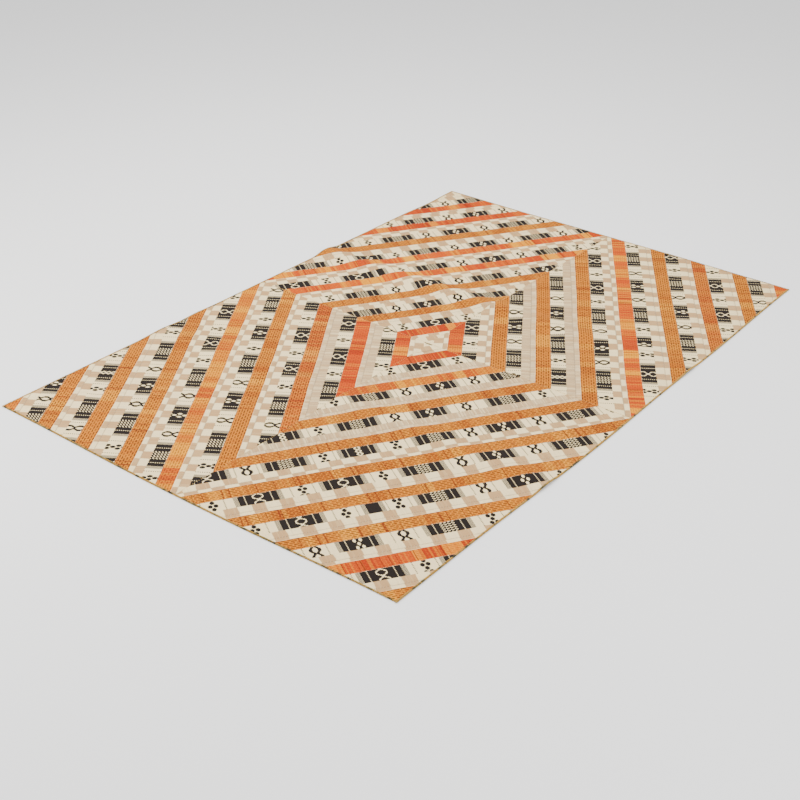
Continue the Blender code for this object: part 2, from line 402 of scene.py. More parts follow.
# %% Turn a run of letters into columns
CREAM, BROWN, GREY, BLACK = 0.0, 0.4, 0.7, 1.0
BARS = {"C": 0.0223, "L": 0.0225, "E": 0.0175, "X": 0.0186, "N": 0.0186, "B": 0.0230, "S": 0.0250,
        "H": 0.0186, "I": 0.0340}
GREY_EDGE = 0.0170
DOT_LENGTH = 0.0037
FINE_LINE = 0.0048
FIGURE_STEP = 0.0037
SMALL_STEP = 0.0034
LINE_OFF = 0.0430
PLAIN_STEP = 0.019
SLIP = 0.010
DOT_ROWS = range(0, CHART_ROWS, 2)


def plain_column(width, yarn):
    return (width, np.full(CHART_ROWS, yarn))


def dotted_column(width, ground, dot):
    """A line of small dots: every second cell takes the dot's yarn."""
    column = np.full(CHART_ROWS, ground)
    column[list(DOT_ROWS)] = dot
    return (width, column)


def block_columns(letter, first_row):
    """A black block: grey edge, two bars with a dotted line between them, figure, and the same back."""
    bar, dots = plain_column(BARS[letter], BLACK), dotted_column(DOT_LENGTH, BLACK, CREAM)
    side = [plain_column(GREY_EDGE, GREY), bar, dots, bar]
    if letter == "B":
        return side + side[2:0:-1] + side[:1]
    if letter == "S":
        return [side[0], bar, bar, side[0]]
    if letter == "I":
        return [bar, side[0]]
    figure = rows_from(BLOCK_FIGURES["X" if letter == "H" else letter], first_row)
    cells = [(FIGURE_STEP, figure[:, column] * BLACK) for column in range(figure.shape[1])]
    if letter == "H":
        return cells + side[::-1]
    return side + cells + side[::-1]


def small_columns(letter, first_row):
    """A small black motif on cream, between two fine dotted brown lines."""
    figure = rows_from(SMALL_MOTIFS[letter], first_row)
    cells = [(SMALL_STEP, figure[:, column] * BLACK) for column in range(figure.shape[1])]
    gap = LINE_OFF - SMALL_STEP * figure.shape[1] / 2 - FINE_LINE / 2
    line = dotted_column(FINE_LINE, CREAM, BROWN)
    return [line, plain_column(gap, CREAM)] + cells + [plain_column(gap, CREAM), line]


def run_columns(first_block, repeat, run, start, end):
    """Column lines and yarns from start to end, with plain cream between the motifs."""
    spans = []
    middle = first_block - repeat * 0.5
    for word in run.split():
        middle += SLIP * (word.count("+") - word.count("-"))
        motif = word.strip("+-")
        letter, first_row = motif[0], int(motif[1:] or 0)
        columns = (small_columns if letter in SMALL_MOTIFS else block_columns)(letter, first_row)
        place = middle - sum(width for width, _ in columns) / 2
        for width, yarns in columns:
            spans.append((place, place + width, yarns))
            place += width
        middle += repeat * 0.5
    spans = [span for span in spans if span[1] > start and span[0] < end]
    spans.append((end, end, None))
    lines, yarns, place = [], [], start
    for low, high, cells in spans:
        gap = low - place
        if gap > 1e-5:
            count = max(1, math.ceil(gap / PLAIN_STEP))
            lines += [place + gap * step / count for step in range(count)]
            yarns += [np.full(CHART_ROWS, CREAM)] * count
        if cells is not None:
            lines.append(max(low, start))
            yarns.append(cells)
            place = high
    lines.append(end)
    return np.array(lines), np.array(yarns)


sample_lines, _ = run_columns(0.0, 0.31, "q0 C f0", -0.3, 0.4)
print("a run of one block and two small motifs takes", len(sample_lines) - 1, "columns")

# %% [markdown]
# ## From grid to cut cloth
#
# The grid of a strip is still a long ribbon. A maker would now cut it along the rug's middle lines and
# sides, and so do we, with Blender's bisect on the flat ribbon: it keeps the yarn number of every face.
# Then the flat piece is copied as top and underside, with a rim between, and laid on the floor.

# %% Cut a ribbon to its quarter
HALF_GAP = 0.00015


def along_and_away(signs):
    """Directions in the rug's plane: along a strip, and away from the rug's centre."""
    sign_x, sign_y = signs
    away = np.array((sign_x * math.sin(STRIP_ANGLE), sign_y * math.cos(STRIP_ANGLE)))
    along = np.array((sign_x * math.cos(STRIP_ANGLE), -sign_y * math.sin(STRIP_ANGLE)))
    return along, away


def ribbon_mesh(signs, inner, lines, yarns, row_places, row_parts):
    """The flat ribbon in the rug's plane, with a part and a yarn number on each face."""
    along, away = along_and_away(signs)
    run, out = np.meshgrid(lines, inner + row_places, indexing="ij")
    points = np.zeros((run.size, 3))
    points[:, :2] = (CENTRE_X, CENTRE_Y) + run.reshape(-1, 1) * along + out.reshape(-1, 1) * away
    columns, rows = len(lines) - 1, len(row_parts)
    corner = np.arange(columns)[:, None] * (rows + 1) + np.arange(rows)[None, :]
    faces = np.stack([corner, corner + rows + 1, corner + rows + 2, corner + 1], -1).reshape(-1, 4)
    mesh = bpy.data.meshes.new("flat_ribbon")
    mesh.from_pydata(points.tolist(), [], faces.tolist())
    part = np.tile(row_parts, columns)
    yarn = np.zeros((columns, rows))
    motif_rows = np.flatnonzero(row_parts == MOTIF)
    if len(motif_rows):
        yarn[:, motif_rows] = yarns[:, :len(motif_rows)]
    mesh.attributes.new("part", "FLOAT", "FACE").data.foreach_set("value", part.astype(np.float32))
    mesh.attributes.new("yarn", "FLOAT", "FACE").data.foreach_set("value", yarn.ravel().astype(np.float32))
    return mesh


def cut_to_quarter(mesh, signs):
    """Cut the ribbon at the middle lines and at the rug's sides."""
    sign_x, sign_y = signs
    cloth_x = RUG_LENGTH / 2 - EDGE_YARN_WIDTH
    cloth_y = RUG_WIDTH / 2 - EDGE_YARN_WIDTH
    cuts = (
        ((CENTRE_X + sign_x * HALF_GAP, 0, 0), (-sign_x, 0, 0)),
        ((0, CENTRE_Y + sign_y * HALF_GAP, 0), (0, -sign_y, 0)),
        ((sign_x * cloth_x, 0, 0), (sign_x, 0, 0)),
        ((0, sign_y * cloth_y, 0), (0, sign_y, 0)),
    )
    cutter = bmesh.new()
    cutter.from_mesh(mesh)
    for point, outward in cuts:
        geometry = cutter.verts[:] + cutter.edges[:] + cutter.faces[:]
        bmesh.ops.bisect_plane(cutter, geom=geometry, dist=1e-6, plane_co=point, plane_no=outward,
                               clear_outer=True)
    bmesh.ops.dissolve_degenerate(cutter, dist=1e-6, edges=cutter.edges[:])
    cutter.to_mesh(mesh)
    cutter.free()


def read_flat(mesh):
    """The cut piece as arrays: points, corners of each face, face sizes, parts and yarns."""
    points = np.zeros(len(mesh.vertices) * 3)
    mesh.vertices.foreach_get("co", points)
    loops = np.zeros(len(mesh.loops), int)
    mesh.loops.foreach_get("vertex_index", loops)
    sizes = np.zeros(len(mesh.polygons), int)
    mesh.polygons.foreach_get("loop_total", sizes)
    part, yarn = np.zeros(len(sizes), np.float32), np.zeros(len(sizes), np.float32)
    mesh.attributes["part"].data.foreach_get("value", part)
    mesh.attributes["yarn"].data.foreach_get("value", yarn)
    return points.reshape(-1, 3)[:, :2], loops, sizes, part.round().astype(int), yarn


print("a ribbon is cut with a gap of", HALF_GAP * 2000, "mm at the middle lines")

# %% [markdown]
# ## Relief of the cloth
#
# Sewn wool is never flat like paper. At a seam both strips turn down a little, the sewing thread draws
# small puckers, and handling leaves shallow dents. The orange band is the thickest part of the weave. All
# of this is a millimetre or less, yet it is what catches the light, so it goes into the mesh.

# %% Relief function
SEAM_DROP = 0.0013
SEAM_SOFT = 0.0045
PUCKER = 0.00045
PUCKER_LENGTH = 0.034
DENT = 0.0005
BAND_RISE = 0.0003


def relief(x, y, run, out, signs):
    """How far the top of the cloth stands off its plain thickness."""
    near_seam = np.minimum(out, STRIP_WIDTH - out)
    along_middle = np.minimum(np.abs(x - CENTRE_X), np.abs(y - CENTRE_Y))
    seam = np.minimum(near_seam, along_middle)
    drop = -SEAM_DROP * np.exp(-((seam / SEAM_SOFT) ** 2))
    wander = 0.9 * np.sin(run * 7.3 + signs[0]) + 0.6 * np.sin(run * 17.9 + signs[1] * 2)
    pucker = PUCKER * np.sin(math.tau * run / PUCKER_LENGTH + wander * 2.5) * np.exp(-seam / 0.014)
    dents = DENT * (np.sin(x * 31 + 2.2 * np.sin(y * 13)) * np.sin(y * 27 + 1.7 * np.sin(x * 11 + 1.0)))
    band_middle = NARROW_CHECK + FINE_THREAD + ORANGE_BAND / 2
    rise = BAND_RISE * np.clip(1.4 - np.abs(out - band_middle) / (ORANGE_BAND / 2), 0.0, 1.0)
    return drop + pucker + dents * np.clip(seam / 0.02, 0.0, 1.0) + rise


print("the seams sink by", SEAM_DROP * 1000, "mm")

# %% [markdown]
# ## Building a cloth piece
#
# Each finished piece is one closed sheet. Its faces keep three things for the materials: which weave they
# belong to, their yarn number, and their place on the strip in metres. The place is stored as an
# attribute with the strip's own number as its third value, so that no two strips have the same dye marks.

# %% Assemble the sheet
def sheet_mesh(name, signs, inner, flat, slots, seed, checks_at):
    """Top, underside and rim from a cut flat piece, laid on the floor."""
    points, loops, sizes, part, yarn = flat
    along, away = along_and_away(signs)
    local = points - (CENTRE_X, CENTRE_Y)
    run, out = local @ along, local @ away - inner
    x, y, low = laid(points[:, 0], points[:, 1])
    high = low + CLOTH_THICKNESS + relief(points[:, 0], points[:, 1], run, out, signs)
    count = len(points)
    starts = np.concatenate(([0], np.cumsum(sizes)[:-1]))
    following = np.arange(len(loops)) + 1
    following[starts + sizes - 1] = starts
    first, second = loops, loops[following]
    key = np.minimum(first, second) * count + np.maximum(first, second)
    _, index, uses = np.unique(key, return_inverse=True, return_counts=True)
    rim = uses[index] == 1
    face_of = np.repeat(np.arange(len(sizes)), sizes)
    clockwise = signs[0] * signs[1] > 0
    a, b = first[rim], second[rim]
    rim_faces = np.stack([a, a + count, b + count, b], 1)
    order = np.concatenate([np.arange(s, s + n)[::-1] for s, n in zip(starts, sizes)])
    if clockwise:
        top, under, rim_faces = loops[order], loops, rim_faces[:, ::-1]
    else:
        top, under = loops, loops[order]
    all_loops = np.concatenate([top, under + count, rim_faces.ravel()])
    all_sizes = np.concatenate([sizes, sizes, np.full(len(a), 4)])
    all_part = np.concatenate([part, part, part[face_of[rim]]])
    all_yarn = np.concatenate([yarn, yarn, yarn[face_of[rim]]])
    mesh = bpy.data.meshes.new(name)
    mesh.vertices.add(2 * count)
    mesh.loops.add(len(all_loops))
    mesh.polygons.add(len(all_sizes))
    place = np.zeros((2 * count, 3))
    place[:count] = np.stack([x, y, high], 1)
    place[count:] = np.stack([x, y, low], 1)
    mesh.vertices.foreach_set("co", place.ravel())
    mesh.polygons.foreach_set("loop_start", np.concatenate(([0], np.cumsum(all_sizes)[:-1])))
    mesh.loops.foreach_set("vertex_index", all_loops)
    mesh.polygons.foreach_set("material_index", np.array([slots[of] for of in all_part]))
    mesh.update(calc_edges=True)
    on_strip = np.zeros((len(all_loops), 3), np.float32)
    corner = all_loops % count
    corner_part = np.repeat(all_part, all_sizes)
    dark_at = np.zeros(len(corner))
    for check_part, at in zip((NARROW, WIDE), checks_at):
        dark_at[corner_part == check_part] = at
    on_strip[:, 0] = run[corner] - dark_at
    on_strip[:, 1] = out[corner]
    on_strip[:, 2] = seed
    attribute = mesh.attributes.new("strip_place", "FLOAT_VECTOR", "CORNER")
    attribute.data.foreach_set("vector", on_strip.ravel())
    tone = mesh.attributes.new("yarn_number", "FLOAT", "CORNER")
    tone.data.foreach_set("value", np.repeat(all_yarn, all_sizes).astype(np.float32))
    mesh.shade_smooth()
    mesh.set_sharp_from_angle(angle=math.radians(50))
    mesh.validate()
    return mesh


def flat_area(points, loops, sizes):
    """Area of the cut piece before it is laid."""
    starts = np.concatenate(([0], np.cumsum(sizes)[:-1]))
    following = np.arange(len(loops)) + 1
    following[starts + sizes - 1] = starts
    a, b = points[loops], points[loops[following]]
    return abs(float((a[:, 0] * b[:, 1] - a[:, 1] * b[:, 0]).sum())) / 2


print("each cloth piece is a closed sheet of", CLOTH_THICKNESS * 1000, "mm")

# %% [markdown]
# ## Small helpers for shader nodes
#
# A material is a chain of small steps: measure, compare, mix. These helpers add one node each and hand
# back its output, so that a finish can be read from top to bottom like a recipe.

# %% Node helpers
def put(tree, kind, links=(), **settings):
    """Add a node, set its options, and fill its inputs with values or links."""
    node = tree.nodes.new(kind)
    for key, value in settings.items():
        setattr(node, key, value)
    for name, value in dict(links).items():
        if isinstance(value, bpy.types.NodeSocket):
            tree.links.new(value, node.inputs[name])
        else:
            node.inputs[name].default_value = value
    return node


def sum_of(tree, operation, first, second=0.0, third=0.0):
    """One step of arithmetic."""
    return put(tree, "ShaderNodeMath", {0: first, 1: second, 2: third}, operation=operation).outputs[0]


def smooth(tree, value, low, high):
    """0 below low, 1 above high, and a soft step between."""
    node = put(tree, "ShaderNodeMapRange", {"Value": value, "From Min": low, "From Max": high},
               interpolation_type="SMOOTHSTEP", clamp=True)
    return node.outputs["Result"]


def mix(tree, share, first, second, blend_type="MIX"):
    """Mix two colours."""
    node = put(tree, "ShaderNodeMix", data_type="RGBA", blend_type=blend_type, clamp_factor=True)
    for name, value in (("Factor_Float", share), ("A_Color", first), ("B_Color", second)):
        socket = next(item for item in node.inputs if item.identifier == name)
        if isinstance(value, bpy.types.NodeSocket):
            tree.links.new(value, socket)
        else:
            socket.default_value = value if name == "Factor_Float" else (*value, 1.0)
    return next(item for item in node.outputs if item.identifier == "Result_Color")


def noise(tree, vector, scale, detail=2.0, roughness=0.5, dimensions="3D"):
    """Soft random values between 0 and 1."""
    node = put(tree, "ShaderNodeTexNoise", {"Scale": scale, "Detail": detail, "Roughness": roughness},
               noise_dimensions=dimensions)
    tree.links.new(vector, node.inputs["W" if dimensions == "1D" else "Vector"])
    return node.outputs["Fac"]


def start_group(name, inputs, outputs):
    """An empty node group with named sockets. Kinds are Float, Vector and Color."""
    group = bpy.data.node_groups.new(name, "ShaderNodeTree")
    for socket, kind, value in inputs:
        made = group.interface.new_socket(socket, in_out="INPUT", socket_type="NodeSocket" + kind)
        if value is not None:
            made.default_value = value
    for socket, kind in outputs:
        group.interface.new_socket(socket, in_out="OUTPUT", socket_type="NodeSocket" + kind)
    return group, group.nodes.new("NodeGroupInput").outputs, group.nodes.new("NodeGroupOutput").inputs


print("node helpers ready")

# %% [markdown]
# ## Weave
#
# Plain weave is a grid in which each thread goes over one and under the next. Seen close, every crossing is a small
# pillow, longer along the thread that is on top, with dark gaps at the corners. The group takes the place on the
# strip and the two thread spacings, and gives the height and a mask of the gaps, which the wool finish darkens as
# painted shade.

# %% Weave group
def make_weave_group():
    group, given, result = start_group(
        "plain_weave",
        [("Place", "Vector", None), ("Thread Along", "Float", 0.0021), ("Thread Across", "Float", 0.0027),
         ("Waver", "Float", 0.25)],
        [("Height", "Float"), ("Gap", "Float"), ("Over", "Float")],
    )
    wobble = noise(group, given["Place"], 55.0, 2.0)
    wobble = sum_of(group, "MULTIPLY", sum_of(group, "SUBTRACT", wobble, 0.5), given["Waver"])
    axes = put(group, "ShaderNodeSeparateXYZ", {"Vector": given["Place"]}).outputs
    picks = sum_of(group, "ADD", sum_of(group, "DIVIDE", axes["X"], given["Thread Along"]), wobble)
    ends = sum_of(group, "ADD", sum_of(group, "DIVIDE", axes["Y"], given["Thread Across"]), wobble)
    pillow_x = sum_of(group, "ABSOLUTE", sum_of(group, "SINE", sum_of(group, "MULTIPLY", picks, math.pi)))
    pillow_y = sum_of(group, "ABSOLUTE", sum_of(group, "SINE", sum_of(group, "MULTIPLY", ends, math.pi)))
    crossing = sum_of(group, "ADD", sum_of(group, "FLOOR", picks), sum_of(group, "FLOOR", ends))
    over = sum_of(group, "MODULO", sum_of(group, "ABSOLUTE", crossing), 2.0)
    long_x = sum_of(group, "MULTIPLY", sum_of(group, "POWER", pillow_x, 0.45), pillow_y)
    long_y = sum_of(group, "MULTIPLY", sum_of(group, "POWER", pillow_y, 0.45), pillow_x)
    part_x = sum_of(group, "MULTIPLY", long_x, over)
    part_y = sum_of(group, "MULTIPLY", long_y, sum_of(group, "SUBTRACT", 1.0, over))
    height = sum_of(group, "ADD", part_x, part_y)
    gap = sum_of(group, "SUBTRACT", 1.0, smooth(group, height, 0.02, 0.42))
    group.links.new(height, result["Height"])
    group.links.new(gap, result["Gap"])
    group.links.new(over, result["Over"])
    return group


WEAVE = make_weave_group()
print(WEAVE.name, len(WEAVE.nodes), "nodes")

# %% [markdown]
# ## Rows of floats on the orange band
#
# The orange bands show close rows of dark dashes that run along the strip. They are where the brown warp lies on
# top of the orange weft for a few picks. Neighbouring rows are set half a step apart, and no dash is as strong as
# the next. At the end of each dash a narrow patch is lightened as a painted highlight.

# %% Float rows group
def make_float_rows_group():
    group, given, result = start_group(
        "float_rows",
        [("Place", "Vector", None), ("Row Spacing", "Float", 0.0104), ("Dash Length", "Float", 0.0250),
         ("Waver", "Float", 0.25)],
        [("Dash", "Float"), ("Light", "Float"), ("Rib", "Float")],
    )
    wobble = sum_of(group, "SUBTRACT", noise(group, given["Place"], 38.0, 1.0), 0.5)
    wobble = sum_of(group, "MULTIPLY", wobble, given["Waver"])
    axes = put(group, "ShaderNodeSeparateXYZ", {"Vector": given["Place"]}).outputs
    rows = sum_of(group, "ADD", sum_of(group, "DIVIDE", axes["Y"], given["Row Spacing"]), wobble)
    row = sum_of(group, "FLOOR", rows)
    across = sum_of(group, "ABSOLUTE", sum_of(group, "SUBTRACT", sum_of(group, "FRACT", rows), 0.5))
    seed = sum_of(group, "MULTIPLY_ADD", axes["Z"], 3.7, row)
    jump = put(group, "ShaderNodeTexWhiteNoise", {"W": seed}, noise_dimensions="1D").outputs["Value"]
    step = sum_of(group, "MULTIPLY_ADD", row, 0.5, sum_of(group, "MULTIPLY", jump, 0.35))
    steps = sum_of(group, "ADD", sum_of(group, "DIVIDE", axes["X"], given["Dash Length"]), step)
    steps = sum_of(group, "ADD", steps, wobble)
    inside = sum_of(group, "ABSOLUTE", sum_of(group, "SUBTRACT", sum_of(group, "FRACT", steps), 0.5))
    narrow = sum_of(group, "SUBTRACT", 1.0, smooth(group, across, 0.18, 0.30))
    short = sum_of(group, "SUBTRACT", 1.0, smooth(group, inside, 0.34, 0.42))
    dash = sum_of(group, "MULTIPLY", narrow, short)
    turned = put(group, "ShaderNodeCombineXYZ",
                 {"X": sum_of(group, "FLOOR", steps), "Y": row, "Z": axes["Z"]}).outputs[0]
    strength = put(group, "ShaderNodeTexWhiteNoise", {"Vector": turned}, noise_dimensions="3D")
    dash = sum_of(group, "MULTIPLY", dash, smooth(group, strength.outputs["Value"], -0.6, 0.6))
    # Painted highlight: a narrow lighter patch at the end of each dash, where the weft rises between the floats.
    light = sum_of(group, "MULTIPLY", narrow, smooth(group, inside, 0.40, 0.46))
    group.links.new(dash, result["Dash"])
    group.links.new(light, result["Light"])
    group.links.new(smooth(group, across, 0.5, 0.1), result["Rib"])
    return group


FLOAT_ROWS = make_float_rows_group()
print(FLOAT_ROWS.name, len(FLOAT_ROWS.nodes), "nodes")

# %% [markdown]
# ## Dye steps
#
# Hand-dyed wool changes tone whenever the weaver takes a new hank, so an orange band steps from tan to
# yellow to rust along its length, always straight across. Weavers call this abrash. Noise along one axis
# alone gives it: a slow part for the hanks and a quick part for single picks.

# %% Dye steps group
def make_dye_group():
    group, given, result = start_group(
        "dye_steps",
        [("Place", "Vector", None), ("Hank Length", "Float", 0.055), ("Pick Length", "Float", 0.006)],
        [("Hank", "Float"), ("Pick", "Float"), ("Rare", "Float")],
    )
    axes = put(group, "ShaderNodeSeparateXYZ", {"Vector": given["Place"]}).outputs
    slant = sum_of(group, "MULTIPLY", noise(group, given["Place"], 9.0, 1.0), 0.006)
    run = sum_of(group, "ADD", axes["X"], slant)
    seeded = sum_of(group, "MULTIPLY", axes["Z"], 7.31)

    def stepped(length, offset):
        count = sum_of(group, "ADD", sum_of(group, "DIVIDE", run, length), offset)
        drift = noise(group, sum_of(group, "ADD", sum_of(group, "MULTIPLY", count, 0.37), seeded), 1.0,
                      0.0, dimensions="1D")
        count = sum_of(group, "ADD", count, sum_of(group, "MULTIPLY", drift, 1.6))
        lot = sum_of(group, "ADD", sum_of(group, "FLOOR", count), seeded)
        return put(group, "ShaderNodeTexWhiteNoise", {"W": lot}, noise_dimensions="1D").outputs["Value"]

    group.links.new(stepped(given["Hank Length"], 0.0), result["Hank"])
    group.links.new(stepped(given["Pick Length"], 0.4), result["Pick"])
    single = stepped(sum_of(group, "MULTIPLY", given["Pick Length"], 0.7), 5.2)
    group.links.new(smooth(group, single, 0.93, 0.95), result["Rare"])
    return group


DYE_STEPS = make_dye_group()
print(DYE_STEPS.name, len(DYE_STEPS.nodes), "nodes")

# %% [markdown]
# ## Wool fibre, seam dust and painted seam shade
#
# Two more effects are shared. Wool yarn is spun from many shades of fibre, so even a plain area has fine flecks and
# soft clouds. And each seam is painted a little darker than the strips beside it, partly as dust that settles where
# the cloth turns into the seam and partly as painted shade in the seam's groove.

# %% Fibre group and seam group
def make_fibre_group():
    group, given, result = start_group(
        "wool_fibre",
        [("Place", "Vector", None), ("Colour", "Color", (0.8, 0.7, 0.5, 1.0)), ("Fleck", "Float", 0.18),
         ("Cloud", "Float", 0.10)],
        [("Colour", "Color"), ("Fuzz", "Float")],
    )
    fleck = noise(group, given["Place"], 420.0, 2.0, 0.6)
    stretched = put(group, "ShaderNodeVectorMath", {0: given["Place"], 1: (1.0, 3.0, 1.0)},
                    operation="MULTIPLY").outputs[0]
    slub = noise(group, stretched, 95.0, 3.0, 0.65)
    cloud = noise(group, given["Place"], 14.0, 3.0, 0.55)
    dark = sum_of(group, "MULTIPLY_ADD", sum_of(group, "SUBTRACT", fleck, 0.5), given["Fleck"], 1.0)
    dark = sum_of(group, "ADD", dark, sum_of(group, "MULTIPLY", sum_of(group, "SUBTRACT", slub, 0.5),
                                             given["Fleck"]))
    dark = sum_of(group, "ADD", dark, sum_of(group, "MULTIPLY", sum_of(group, "SUBTRACT", cloud, 0.5),
                                             given["Cloud"]))
    tinted = put(group, "ShaderNodeVectorMath", {0: given["Colour"]}, operation="SCALE")
    group.links.new(dark, tinted.inputs["Scale"])
    group.links.new(tinted.outputs[0], result["Colour"])
    group.links.new(sum_of(group, "MULTIPLY_ADD", slub, 0.6, sum_of(group, "MULTIPLY", fleck, 0.4)),
                    result["Fuzz"])
    return group


def make_seam_dust_and_shade_group():
    group, given, result = start_group(
        "seam_dust_and_shade",
        [("Place", "Vector", None), ("Colour", "Color", (0.8, 0.7, 0.5, 1.0)), ("Strength", "Float", 0.45)],
        [("Colour", "Color"), ("Dust And Shade", "Float")],
    )
    out = put(group, "ShaderNodeSeparateXYZ", {"Vector": given["Place"]}).outputs["Y"]
    edge = sum_of(group, "MINIMUM", out, sum_of(group, "SUBTRACT", STRIP_WIDTH, out))
    patchy = noise(group, given["Place"], 24.0, 3.0)
    reach = sum_of(group, "MULTIPLY_ADD", patchy, 0.004, 0.0006)
    near = sum_of(group, "SUBTRACT", 1.0, smooth(group, edge, 0.0, reach))
    dust_and_shade = sum_of(group, "MULTIPLY", near, given["Strength"])
    # Seam dust and painted shade: near each seam the colour is mixed towards dark brown, partly as dust and partly
    # as shade in the seam's groove.
    group.links.new(mix(group, dust_and_shade, given["Colour"], (0.16, 0.11, 0.07)), result["Colour"])
    group.links.new(dust_and_shade, result["Dust And Shade"])
    return group


WOOL_FIBRE = make_fibre_group()
SEAM_DUST_AND_SHADE = make_seam_dust_and_shade_group()
print(WOOL_FIBRE.name, "and", SEAM_DUST_AND_SHADE.name, "ready")

# %% [markdown]
# ## Finishing a wool material
#
# All yarns end in the same way: fibre, painted shade in the weave's gaps, and seam dust with painted seam shade
# over the yarn's colour, the weave's height as a bump, and a matt shader with a little sheen from the fuzz. So one
# function finishes every material, and each material only has to bring its own colour.

# %% Shared end of each wool material
WOOL_ROUGHNESS = 0.92
WOOL_SHEEN = 0.02
WEAVE_BUMP = 0.0009


def start_wool(name):
    """A new material, its node tree, and its place on the strip."""
    material = bpy.data.materials.new(name)
    material.use_nodes = True
    tree = material.node_tree
    place = put(tree, "ShaderNodeAttribute", attribute_name="strip_place").outputs["Vector"]
    return material, tree, place


def use(tree, group, **values):
    """Place a node group and fill its named inputs; underscores stand for spaces."""
    node = put(tree, "ShaderNodeGroup", node_tree=group)
    for name, value in values.items():
        socket = node.inputs[name.replace("_", " ")]
        if isinstance(value, bpy.types.NodeSocket):
            tree.links.new(value, socket)
        else:
            socket.default_value = value
    return node.outputs


def finish_wool(tree, place, colour, weave, extra_height=None, fleck=0.18, cloud=0.10, painted_gap_shade=0.35):
    """Fibre, painted shade in the gaps, seam dust with painted seam shade, and bump on the way to the shader."""
    fibre = use(tree, WOOL_FIBRE, Place=place, Colour=colour, Fleck=fleck, Cloud=cloud)
    # Painted shade: the gaps between the threads are darkened towards dark brown.
    shaded = mix(tree, sum_of(tree, "MULTIPLY", weave["Gap"], painted_gap_shade), fibre["Colour"],
                 (0.10, 0.07, 0.05))
    dusted_and_shaded = use(tree, SEAM_DUST_AND_SHADE, Place=place, Colour=shaded)
    height = sum_of(tree, "MULTIPLY_ADD", fibre["Fuzz"], 0.35, weave["Height"])
    if extra_height is not None:
        height = sum_of(tree, "ADD", height, extra_height)
    bump = put(tree, "ShaderNodeBump", {"Height": height, "Strength": 0.55, "Distance": WEAVE_BUMP})
    shader = tree.nodes["Principled BSDF"]
    shader.inputs["Sheen Weight"].default_value = WOOL_SHEEN
    shader.inputs["Sheen Roughness"].default_value = 0.55
    shader.inputs["Specular IOR Level"].default_value = 0.05
    rough = sum_of(tree, "MULTIPLY_ADD", fibre["Fuzz"], 0.10, WOOL_ROUGHNESS - 0.05)
    tree.links.new(rough, shader.inputs["Roughness"])
    tree.links.new(dusted_and_shaded["Colour"], shader.inputs["Base Color"])
    tree.links.new(bump.outputs["Normal"], shader.inputs["Normal"])


print("wool roughness", WOOL_ROUGHNESS)

# %% [markdown]
# ## The orange bands
#
# Five dye mixtures occur. Each has a main tone and two neighbours that the steps bring in, and the
# floats of brown warp lie over them. The table gives linear colours, which is what Blender's sockets take.

# %% Orange dyes
DYE_COLUMNS = ("dye", "main", "light", "deep", "thread", "light_share", "deep_share", "dash")
DYES = (
    ("tan", (0.580, 0.175, 0.008), (0.760, 0.290, 0.014), (0.460, 0.110, 0.004), (0.22, 0.026, 0.005),
     0.16, 0.18, 0.90),
    ("rust", (0.590, 0.145, 0.008), (0.780, 0.290, 0.022), (0.450, 0.070, 0.004), (0.22, 0.022, 0.005),
     0.18, 0.30, 0.90),
    ("bright", (0.640, 0.180, 0.004), (0.800, 0.310, 0.008), (0.520, 0.080, 0.002), (0.32, 0.030, 0.005),
     0.32, 0.24, 0.60),
    ("red", (0.560, 0.062, 0.001), (0.760, 0.240, 0.005), (0.420, 0.030, 0.001), (0.200, 0.016, 0.003),
     0.20, 0.28, 0.34),
    ("red_yellow", (0.600, 0.085, 0.001), (0.820, 0.320, 0.004), (0.500, 0.042, 0.001), (0.260, 0.020, 0.003),
     0.30, 0.24, 0.26),
)
FLOAT_HIGHLIGHT_SHARE = 0.5
FLOAT_BROWN = (0.080, 0.018, 0.003)


def orange_material(row):
    material, tree, place = start_wool("orange_band_" + row["dye"])
    steps = use(tree, DYE_STEPS, Place=place)
    light_at, deep_at = 1.0 - row["light_share"], row["deep_share"]
    lighter = smooth(tree, steps["Hank"], light_at - 0.01, light_at + 0.05)
    deeper = sum_of(tree, "SUBTRACT", 1.0, smooth(tree, steps["Hank"], deep_at - 0.05, deep_at + 0.01))
    colour = mix(tree, lighter, row["main"], row["light"])
    colour = mix(tree, deeper, colour, row["deep"])
    streak = sum_of(tree, "MULTIPLY", smooth(tree, steps["Pick"], 0.76, 0.92), 0.55)
    colour = mix(tree, streak, colour, row["deep"])
    pale = sum_of(tree, "MULTIPLY", smooth(tree, steps["Pick"], 0.24, 0.08), 0.50)
    colour = mix(tree, pale, colour, row["light"])
    colour = mix(tree, sum_of(tree, "MULTIPLY", steps["Rare"], 0.85), colour, row["thread"])
    floats = use(tree, FLOAT_ROWS, Place=place)
    # Painted highlight: the lighter dye tone laid between the dark dashes.
    light = sum_of(tree, "MULTIPLY", floats["Light"], row["dash"] * FLOAT_HIGHLIGHT_SHARE)
    colour = mix(tree, light, colour, row["light"])
    colour = mix(tree, sum_of(tree, "MULTIPLY", floats["Dash"], row["dash"]), colour, FLOAT_BROWN)
    weave = use(tree, WEAVE, Place=place, Thread_Along=0.0019, Thread_Across=0.0047)
    ribs = sum_of(tree, "MULTIPLY", floats["Rib"], 0.8)
    finish_wool(tree, place, colour, weave, ribs, fleck=0.26, cloud=0.12, painted_gap_shade=0.30)
    return material


orange = {row["dye"]: orange_material(row) for row in named_rows(DYE_COLUMNS, DYES)}
print("orange materials:", ", ".join(orange))

# %% [markdown]
# ## Cream, black and the motif band
#
# The motif band reads the yarn number of each face: cream ground, brown dots, grey edge or black. The grey
# edge is not a yarn of its own but fine black and cream picks in turn, so it is drawn as thin stripes.

